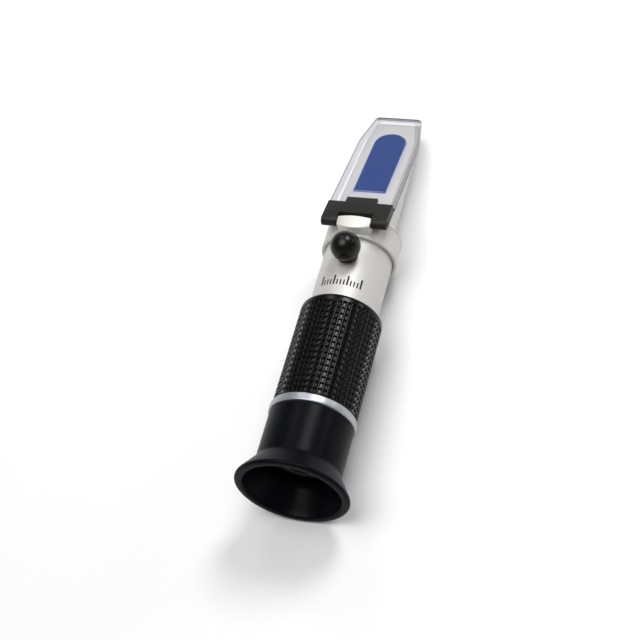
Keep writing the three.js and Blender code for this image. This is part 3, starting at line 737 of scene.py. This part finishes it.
def knurled_grip():
    """Rubber sleeve with a square grid of ribs, lengthwise and round, over sunk square pits."""
    radius = GRIP_END.x
    bore = BARREL_END.x + 0.05 * MM
    columns, rows = 52, 16
    pit_depth = 0.75 * MM
    knurl = (GRIP.y + 0.7 * MM, GRIP_END.y - 2.7 * MM)
    # share of the way across a pit, and how deep the pit is there
    levels = [(0.0, 0.0), (0.09, 0.06), (0.17, 0.4), (0.28, 0.95),
              (0.5, 1.0), (0.72, 0.95), (0.83, 0.4), (0.91, 0.06)]
    saddle = 0.05

    def sink(across, along):
        """Ribs stay high, and dip a little between their crossings."""
        return (1 - saddle) * min(across, along) + saddle * max(across, along)

    def ring(y, r_at):
        verts = []
        for column in range(columns):
            for share, depth in levels:
                angle = 2 * math.pi * (column + share) / columns
                r = r_at(depth)
                verts.append(bm.verts.new((r * math.sin(angle), y, AXIS_Z + r * math.cos(angle))))
        return verts

    bm = bmesh.new()
    outline_start = soft_corners([(bore, GRIP.y), (radius, GRIP.y, 0.45 * MM), (radius, knurl[0])])[1:-1]
    rings = [ring(y, lambda depth, r=r: r) for r, y in outline_start]
    length = (knurl[1] - knurl[0]) / rows
    for row in range(rows):
        for share, row_depth in levels:
            y = knurl[0] + length * (row + share)
            rings.append(ring(y, lambda depth, d=row_depth: radius - pit_depth * sink(depth, d)))
    rings.append(ring(knurl[1], lambda depth: radius))
    smooth_end = [(radius, knurl[1]), (radius, GRIP_END.y - 0.9 * MM, 0.5 * MM),
                  (radius - 0.7 * MM, GRIP_END.y, 0.5 * MM), (bore, GRIP_END.y), (bore, GRIP.y)]
    rings += [ring(y, lambda depth, r=r: r) for r, y in soft_corners(smooth_end, steps=4)[4:]]
    join_rings(bm, rings, True)
    finish_piece("knurled_grip", bm, "barrel", "grip_rubber", replaces=["grip_sleeve"])


def scale_mark():
    """A generic printed graduation on top of the barrel: plain ticks, longer every fourth one."""
    radius = BARREL_END.x + 0.03 * MM
    base = BARREL_END.x - 0.05 * MM
    middle = RIM_Y + 79.6 * MM
    count, pitch, width = 13, 1.25 * MM, 0.5 * MM
    long_half, short_half = 2.0 * MM, 1.1 * MM
    bm = bmesh.new()
    for i in range(count):
        offset = i - (count - 1) / 2
        half = long_half if i % 4 == 0 else short_half
        thickness = width * (1.3 if i % 4 == 0 else 1.0)
        foot = middle - long_half
        angles = [(offset * pitch + side * thickness / 2) / radius for side in (-1, -0.33, 0.33, 1)]
        rings = []
        for y in (foot, foot + 2 * half):
            outer = [(radius * math.sin(a), y, AXIS_Z + radius * math.cos(a)) for a in angles]
            inner = [(base * math.sin(a), y, AXIS_Z + base * math.cos(a)) for a in reversed(angles)]
            rings.append([bm.verts.new(p) for p in outer + inner])
        join_rings(bm, rings, False)
        for ends in rings:
            bm.faces.new(ends)
    finish_piece("printed_graduation", bm, "barrel", "print_ink")


# ---- Prism housing ----

COLLAR_Y = RIM_Y + 98.3 * MM
COLLAR_END_Y = RIM_Y + 107.8 * MM
SHOULDER_END_Y = RIM_Y + 113.6 * MM
TROUGH_RADIUS = 10.2 * MM


def metal_top(y):
    """Height of the housing's sloping face at a place along the axis, from the optical axis."""
    start = SLOPE @ Vector((0, 0, METAL_TOP))
    return start.z - AXIS_Z - (y - start.y) * math.tan(SLOPE_ANGLE)


def housing_section(y, half_width, top, corner):
    """Points of a section with rounded top corners, upright sides and a round bottom, from the top's
    middle, clockwise."""
    top_steps, corner_steps, side_steps, bottom_steps = 8, 8, 10, 24
    side_top = top - corner
    half = half_width
    if side_top < 0:
        half = min(half_width, math.sqrt(TROUGH_RADIUS ** 2 - side_top ** 2))
    side_bottom = -math.sqrt(TROUGH_RADIUS ** 2 - half ** 2)
    right = [((half - corner) * i / top_steps, top) for i in range(top_steps + 1)]
    right += [(half - corner + corner * math.sin(a), side_top + corner * math.cos(a))
              for a in [math.pi / 2 * i / corner_steps for i in range(1, corner_steps + 1)]]
    right += [(half, side_top + (side_bottom - side_top) * i / side_steps) for i in range(1, side_steps + 1)]
    start_angle = math.asin(side_bottom / TROUGH_RADIUS)
    for i in range(1, bottom_steps + 1):
        angle = start_angle - (math.pi / 2 + start_angle) * i / bottom_steps
        right.append((TROUGH_RADIUS * math.cos(angle), TROUGH_RADIUS * math.sin(angle)))
    left = [(-x, z) for x, z in reversed(right[1:-1])]
    return [(x, y, AXIS_Z + z) for x, z in right + left]


def round_section(like, y, radius):
    """A circle about the optical axis whose points lie in the directions of another section's points."""
    made = []
    for x, _, z in like:
        direction = Vector((x, z - AXIS_Z)).normalized()
        made.append((radius * direction.x, y, AXIS_Z + radius * direction.y))
    return made


def housing_half_width(y):
    """Half width along the trough: it narrows over the last stretch, as the daylight plate does."""
    taper_start = RIM_Y + 154 * MM
    tip = 8.5 * MM
    if y < taper_start:
        return TROUGH_RADIUS
    t = (y - taper_start) / (HOUSING_END.y - taper_start)
    return TROUGH_RADIUS + (tip - TROUGH_RADIUS) * t ** 1.15


def prism_housing():
    """Collar with the barrel's socket, a shoulder, and the trough under the prism's sloping face."""
    collar = HOUSING_END.x
    socket = BARREL_END.x + 0.04 * MM
    shoulder_radius, shoulder_corner, trough_corner = 11.2 * MM, 0.9 * MM, 0.7 * MM
    base = housing_section(SHOULDER_END_Y, TROUGH_RADIUS, metal_top(SHOULDER_END_Y), shoulder_corner)
    rounds = [(socket, COLLAR_END_Y - 0.5 * MM), (socket, COLLAR_Y + 0.4 * MM), (socket + 0.4 * MM, COLLAR_Y)]
    rounds += soft_corners([(socket + 0.4 * MM, COLLAR_Y), (collar, COLLAR_Y, 0.5 * MM),
                            (collar, COLLAR_END_Y)], steps=4)[4:-4]
    rounds.append((collar, COLLAR_END_Y - 0.6 * MM))
    outlines = [round_section(base, y, radius) for radius, y in rounds]
    steps = 14
    for i in range(steps + 1):
        t = i / steps
        y = COLLAR_END_Y + (SHOULDER_END_Y - COLLAR_END_Y) * t
        radius = collar - (collar - shoulder_radius) * t ** 1.1 * (2 - t)
        ease = t * t * (3 - 2 * t)
        section = housing_section(y, TROUGH_RADIUS, metal_top(SHOULDER_END_Y), shoulder_corner)
        circle = round_section(section, y, radius)
        outlines.append([tuple(Vector(c) * (1 - ease) + Vector(s) * ease) for c, s in zip(circle, section)])
    steps = 40
    nose = 1.2 * MM
    for i in range(1, steps + 1):
        y = SHOULDER_END_Y + (HOUSING_END.y - nose - SHOULDER_END_Y) * i / steps
        outlines.append(housing_section(y, housing_half_width(y), metal_top(y), trough_corner))
    last = outlines[-1]
    centre = Vector((0, 0, sum(p[2] for p in last) / len(last)))
    nose_steps, nose_shrink = 6, 0.1
    for i in range(1, nose_steps + 1):
        a = math.pi / 2 * i / nose_steps
        y = HOUSING_END.y - nose + nose * math.sin(a)
        section = housing_section(y, housing_half_width(HOUSING_END.y - nose), metal_top(y), trough_corner)
        shrink = 1 - nose_shrink * (1 - math.cos(a))
        outlines.append([(x * shrink, py, centre.z + (z - centre.z) * shrink) for x, py, z in section])
    bm = loft(outlines)
    # node, radius, a height below the metal, the recess's floor and the tool's sides
    sunk_screws = [("backing_screw_front", 2.3 * MM, -12 * MM, -9.0 * MM, 48),
                   ("backing_screw_rear", 2.3 * MM, -12 * MM, -9.0 * MM, 48),
                   ("collar_grub_screw", 1.6 * MM, -16 * MM, -12.7 * MM, 40)]
    recesses = [upright(rod(radius, below, floor, sides), middle_y(node))
                for node, radius, below, floor, sides in sunk_screws]
    finish_piece("prism_housing_body", cut(bm, *recesses), "barrel", "housing_metal",
                 replaces=["prism_housing"])


def hinge_lug():
    """Block on the collar that carries the hinge pin: a turned crown over a bowed front face."""
    half_width = 6.1 * MM
    front, back = RIM_Y + 98.9 * MM, RIM_Y + 103.9 * MM
    top, front_top = 18.4 * MM, 17.8 * MM
    bow = 1.8 * MM
    foot = 11 * MM
    crown_blend = 3 * MM                     # the crown fades in over this height above the foot
    corners = [(back, foot), (back, top, 0.3 * MM), (front, front_top, 0.25 * MM), (front, foot)]
    profile = soft_corners(corners, steps=3)
    columns = 20
    outlines = []
    for i in range(columns + 1):
        x = half_width * (2 * i / columns - 1)
        crown = math.sqrt(top ** 2 - x ** 2) - top
        outline = []
        for y, z in profile:
            backward = bow * (x / half_width) ** 2 * (back - y) / (back - front)
            outline.append((x, y + backward, AXIS_Z + z + crown * min(1, (z - foot) / crown_blend)))
        outlines.append(outline)
    bm = loft(outlines)
    bevel_edges(bm, 0.22 * MM, 2, math.radians(60))
    hole = crosswise(rod(PIN_HOLE, -8 * MM, 8 * MM), HINGE)
    finish_piece("hinge_lug", cut(bm, hole), "barrel", "lug_metal")


def hinge_pin():
    low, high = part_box("hinge_pin")
    radius = (high.z - low.z) / 2
    half = high.x
    corners = [(0, -half), (radius, -half, 0.3 * MM), (radius, half, 0.3 * MM), (0, half)]
    bm = crosswise(turn(soft_corners(corners), 40, closed=False), HINGE)
    finish_piece("hinge_pin_rod", bm, "barrel", "steel", replaces=["hinge_pin"])


def small_screw(name, node, body, head, head_height, shank, slot_width, flip=False):
    """A slotted screw that fills the box of its CAD node; flip puts the head at the bottom."""
    low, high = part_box(node)
    bottom, top = low.z - AXIS_Z, high.z - AXIS_Z
    head_end, tip = (bottom, top) if flip else (top, bottom)
    inward = 1 if flip else -1
    seat = head_end + inward * head_height
    corners = [(0, tip), (shank, tip, 0.3 * MM), (shank, seat), (head, seat, 0.1 * MM),
               (head, head_end, 0.2 * MM), (0, head_end)]
    bm = turn(soft_corners(corners), 40, closed=False)
    depth = head_height * 0.5
    edge = sorted((head_end + inward * depth, head_end - inward * MM))
    reach = head + MM
    groove = block((-slot_width / 2, edge[0], AXIS_Z - reach), (slot_width / 2, edge[1], AXIS_Z + reach))
    bm = upright(cut(bm, groove), middle_y(node))
    finish_piece(name, bm, body, "steel", replaces=[node])


def make_barrel():
    barrel()
    trim_ring()
    knurled_grip()
    scale_mark()
    prism_housing()
    hinge_lug()
    hinge_pin()
    round_section_ring("collar_o_ring", "collar_seal_ring", "barrel", "seal_rubber", 0.45 * MM)
    small_screw("collar_set_screw", "collar_grub_screw", "barrel", 1.35 * MM, 0.9 * MM,
                1.35 * MM, 0.45 * MM, flip=True)
    for end in ("front", "rear"):
        small_screw("underside_screw_" + end, "backing_screw_" + end, "barrel", 2 * MM, 0.8 * MM,
                    0.9 * MM, 0.5 * MM, flip=True)


# ---- Prism ----

PRISM_START, PRISM_END, PRISM_HALF = 7 * MM, 44.6 * MM, 6.15 * MM


def prism_outline(margin=0.0):
    """Counter-clockwise outline on the slope: square near the hinge, half round at the tip."""
    half = PRISM_HALF + margin
    corner = 0.5 * MM
    made = arc_points((-half + corner, PRISM_START - margin + corner), corner, 180, 270, 4)
    made += arc_points((half - corner, PRISM_START - margin + corner), corner, 270, 360, 4)
    made += arc_points((0, PRISM_END - PRISM_HALF), half, 0, 180, 40)
    return made


def measuring_prism():
    """Wedge of blue glass: polished measuring face with a ground chamfer, level underside."""
    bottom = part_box("main_prism")[0].z
    outlines = []
    for margin, height in ((-0.42 * MM, PRISM_TOP), (-0.4 * MM, PRISM_TOP), (0, PRISM_TOP - 0.4 * MM)):
        outlines.append([(x, s, height) for x, s in prism_outline(margin)])
    level = []
    for x, s in prism_outline():
        height = (bottom - SLOPE_ORIGIN.z + s * math.sin(SLOPE_ANGLE)) / math.cos(SLOPE_ANGLE)
        level.append((x, s, height))
    outlines.append(level)
    finish_piece("measuring_prism", loft(outlines, SLOPE), "barrel", "prism_glass",
                 replaces=["main_prism"])


def cement_bead():
    """The pale fillet of cement between the prism's walls and the metal face."""
    rows = [(0.02, METAL_TOP - 1.0 * MM), (0.8, METAL_TOP - 1.0 * MM), (0.8, METAL_TOP + 0.02 * MM),
            (0.6, METAL_TOP + 0.2 * MM), (0.35, METAL_TOP + 0.42 * MM), (0.15, METAL_TOP + 0.66 * MM),
            (0.02, METAL_TOP + 0.74 * MM)]
    outlines = [[(x, s, height) for x, s in prism_outline(margin * MM)] for margin, height in rows]
    finish_piece("prism_cement_bead", loft(outlines, SLOPE, capped=False), "barrel", "cement",
                 replaces=["prism_cement"])


def backing_plate():
    low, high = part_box("prism_backing_plate")
    bm = bevel_edges(block(low, high), 0.2 * MM)
    finish_piece("prism_backing", bm, "barrel", "black_anodised", replaces=["prism_backing_plate"])


def make_prism():
    measuring_prism()
    cement_bead()
    backing_plate()


# ---- Cover: daylight plate and bracket ----

def plate_outline(margin):
    """Counter-clockwise outline on the slope: near parallel sides, a kink, and a narrower tip."""
    half, kink_half, tip_half = PLATE_END.x - margin, 11.9 * MM - margin, 9.0 * MM - margin
    kink = 38.2 * MM
    end = (PLATE_END.y - SLOPE_ORIGIN.y) / math.cos(SLOPE_ANGLE) - 0.15 * MM - margin
    start = BRACKET_END + 0.05 * MM + margin
    corners = [(-half, start, 0.6 * MM), (half, start, 0.6 * MM), (kink_half, kink, 4 * MM),
               (tip_half, end, 1.4 * MM), (-tip_half, end, 1.4 * MM), (-kink_half, kink, 4 * MM)]
    return soft_corners_2d(corners, 5)


def soft_corners_2d(corners, steps):
    """Rounds corners as soft_corners does, for outlines that may cross the axis."""
    shift = 1.0
    moved = [(x + shift, y, size) for x, y, size in corners]
    return [(x - shift, y) for x, y in soft_corners(moved, steps=steps)]


def daylight_plate():
    """Thick clear plate with bevelled edges."""
    rows = [(2.2, PLATE_BOTTOM), (0.9, PLATE_BOTTOM), (0.25, PLATE_BOTTOM), (0.0, PLATE_BOTTOM + 0.25 * MM),
            (0.0, PLATE_TOP - 0.35 * MM), (0.35, PLATE_TOP)]
    outlines = [[(x, s, height) for x, s in plate_outline(margin * MM)] for margin, height in rows]
    bm = loft(outlines, SLOPE)
    bevel_edges(bm, 0.06 * MM, 1, math.radians(25))
    bm.normal_update()
    to_slope = SLOPE.inverted()
    tip = max((to_slope @ vert.co).y for vert in bm.verts) - 0.95 * MM
    # chamfers, the tip's end wall and the bottom rim band get darker or greyer materials: painted shade for
    # the plate's dark edge lines and grey rim band
    for face in bm.faces:
        normal = to_slope.to_3x3() @ face.normal
        if 0.3 < abs(normal.z) < 0.99:
            face.material_index = 1
        elif normal.z < 0.99 and (to_slope @ face.calc_center_median()).y > tip:
            face.material_index = 2
        elif normal.z < -0.99 and len(face.verts) == 4:
            face.material_index = 3
    plate = finish_piece("daylight_plate_clear", bm, "cover", "plate_acrylic", replaces=["daylight_plate"])
    for name in ("plate_edge_shade", "plate_end_shade", "plate_rim_shade"):
        plate.data.materials.append(MATERIALS[name])


def cover_bracket():
    """Black moulding across the plate's end: a tongue over the plate, two arms that hang on the pin, and a
    relief underneath that clears the collar."""
    half, slot_half = 12.1 * MM, 6.4 * MM
    bottom, slot_end, relief = -1.2 * MM, -9.55 * MM, 0.3 * MM
    tongue_half, tongue_end = 5.85 * MM, -0.4 * MM
    hinge = SLOPE.inverted() @ HINGE
    knuckle = BRACKET_TOP - hinge.z
    profile = [(BRACKET_END, bottom), (BRACKET_END, BRACKET_TOP)]
    profile += arc_points((hinge.y, hinge.z), knuckle, 90, 270, 20)
    outlines = [[(x, s, n) for s, n in profile] for x in (-half, half)]
    behind, beyond = -30 * MM, 10 * MM       # places clear of the moulding
    slot = block((-slot_half, behind, -beyond), (slot_half, slot_end, beyond))
    underside = block((-slot_half, behind, -beyond), (slot_half, beyond, relief))
    bm = cut(loft(outlines), slot, underside)
    tongue = block((-tongue_half, BRACKET_END - MM, PLATE_TOP + 0.02 * MM),
                   (tongue_half, tongue_end, BRACKET_TOP))
    bm = cut(bm, tongue, operation="UNION")
    bmesh.ops.dissolve_limit(bm, angle_limit=math.radians(1), verts=bm.verts, edges=bm.edges)
    bevel_edges(bm, 0.35 * MM, 3, math.radians(50))
    bm = cut(bm, crosswise(rod(PIN_HOLE, -15 * MM, 15 * MM), hinge))
    bmesh.ops.transform(bm, matrix=SLOPE, verts=bm.verts)
    finish_piece("cover_bracket_moulding", bm, "cover", "bracket_plastic", replaces=["cover_bracket"])


def make_cover():
    daylight_plate()
    cover_bracket()


# ---- Calibration screw and what it moves ----

def screw_cap():
    """Ball of soft rubber on a short foot, with the pocket that grips the bush."""
    radius = (CAP_END.x - CAP.x) / 2
    top = CAP_END.z - AXIS_Z
    foot = CAP.z - AXIS_Z
    centre = top - radius
    lowest = -46                             # degrees, where the ball meets the neck
    outer = arc_points((0, centre), radius, lowest, 90, 28)
    outer[-1] = (0, top)
    neck = [(3.9 * MM, foot + 0.02 * MM, 0.2 * MM), (4.0 * MM, foot + 0.5 * MM, 0.3 * MM)]
    pocket = 3.45 * MM
    corners = [(pocket, foot + 2.6 * MM, 0.01 * MM), (pocket, foot), *neck, outer[0]]
    start = soft_corners(corners, 0.15 * MM)[5:-4]
    ceiling = foot + 2.7 * MM
    outline = [(0, ceiling), (pocket, ceiling), (pocket, foot + 0.1 * MM)] + start + outer
    bm = upright(turn(outline, 96, closed=False), SCREW_Y)
    finish_piece("screw_cap_rubber", bm, "screw_cap", "cap_rubber", replaces=["screw_cap"])


def screw_bush():
    low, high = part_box("screw_bush")
    radius = (high.x - low.x) / 2
    bottom, top, seat = low.z - AXIS_Z, high.z - AXIS_Z, 12.9 * MM
    wide, narrow = 2.4 * MM, 1.5 * MM
    corners = [(radius, bottom), (radius, top, 0.35 * MM), (wide, top, 0.2 * MM), (wide, seat),
               (narrow, seat), (narrow, bottom)]
    bm = upright(turn(soft_corners(corners, 0.1 * MM), 64), SCREW_Y)
    finish_piece("screw_bush_brass", bm, "barrel", "brass", replaces=["screw_bush"])


def compensator():
    """Nut block, bimetal strip with its screws, and the objective that the strip carries."""
    above = 12 * MM                          # a height clear of the nut and the leaf
    low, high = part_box("compensator_block")
    bm = bevel_edges(block(low, high), 0.25 * MM)
    bore = rod(1.45 * MM, 0, above, 40)
    finish_piece("compensator_nut", cut(bm, upright(bore, SCREW_Y)), "compensator", "brass",
                 replaces=["compensator_block"])

    low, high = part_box("bimetal_strip")
    bm = bevel_edges(block(low, high), 0.08 * MM)
    holes = [(SCREW_Y, 1.7 * MM), (middle_y("strip_screw_rear"), 0.8 * MM),
             (middle_y("strip_screw_front"), 0.8 * MM)]
    tools = [upright(rod(radius, 0, above), y) for y, radius in holes]
    finish_piece("bimetal_leaf", cut(bm, *tools), "compensator", "bimetal", replaces=["bimetal_strip"])
    for end in ("rear", "front"):
        small_screw("leaf_screw_" + end, "strip_screw_" + end, "compensator", 1.1 * MM, 0.7 * MM,
                    0.6 * MM, 0.3 * MM)
    turned_tube("objective_ring", "objective_cell", "compensator", "black_anodised", 6.75 * MM)
    lens("objective_glass", "objective_lens", "compensator", 1.2 * MM)


def fixed_optics():
    """Baffle and scale reticle, pressed into the barrel."""
    turned_tube("light_baffle_ring", "light_baffle", "barrel", "black_anodised", 5.5 * MM)
    low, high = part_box("reticle_holder")
    radius = high.x
    seat = low.y + 1.2 * MM
    wide, narrow = radius - 0.9 * MM, radius - 2.5 * MM
    corners = [(radius, low.y), (radius, high.y), (wide, high.y), (wide, seat),
               (narrow, seat), (narrow, low.y)]
    finish_piece("reticle_seat", turn(soft_corners(corners, 0.12 * MM), 96), "barrel", "black_anodised",
                 replaces=["reticle_holder"])
    low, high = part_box("reticle_disc")
    corners = [(0, low.y), (high.x, low.y, 0.2 * MM), (high.x, high.y, 0.2 * MM), (0, high.y)]
    finish_piece("reticle_glass", turn(soft_corners(corners), 96, closed=False), "barrel", "optical_glass",
                 replaces=["reticle_disc"])
    turned_tube("reticle_ring_nut", "reticle_retaining_ring", "barrel", "black_anodised",
                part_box("reticle_retaining_ring")[1].x - 1.4 * MM)


def make_calibration():
    screw_bush()
    screw_cap()
    small_screw("calibration_screw_slotted", "calibration_screw", "calibration_screw", 2.1 * MM, 1.8 * MM,
                1.2 * MM, 0.6 * MM)
    compensator()
    fixed_optics()


# ---- Scene ----

MATERIALS = make_materials()
make_camera()
make_world()
make_floor()
for light in AREA_LIGHTS:
    area_light(*light)
wide_sun((-0.2, -0.15, 0.95), 2.1, 40)

make_eyepiece()
make_barrel()
make_prism()
make_cover()
make_calibration()

scene = bpy.context.scene
scene.view_settings.view_transform = "Standard"
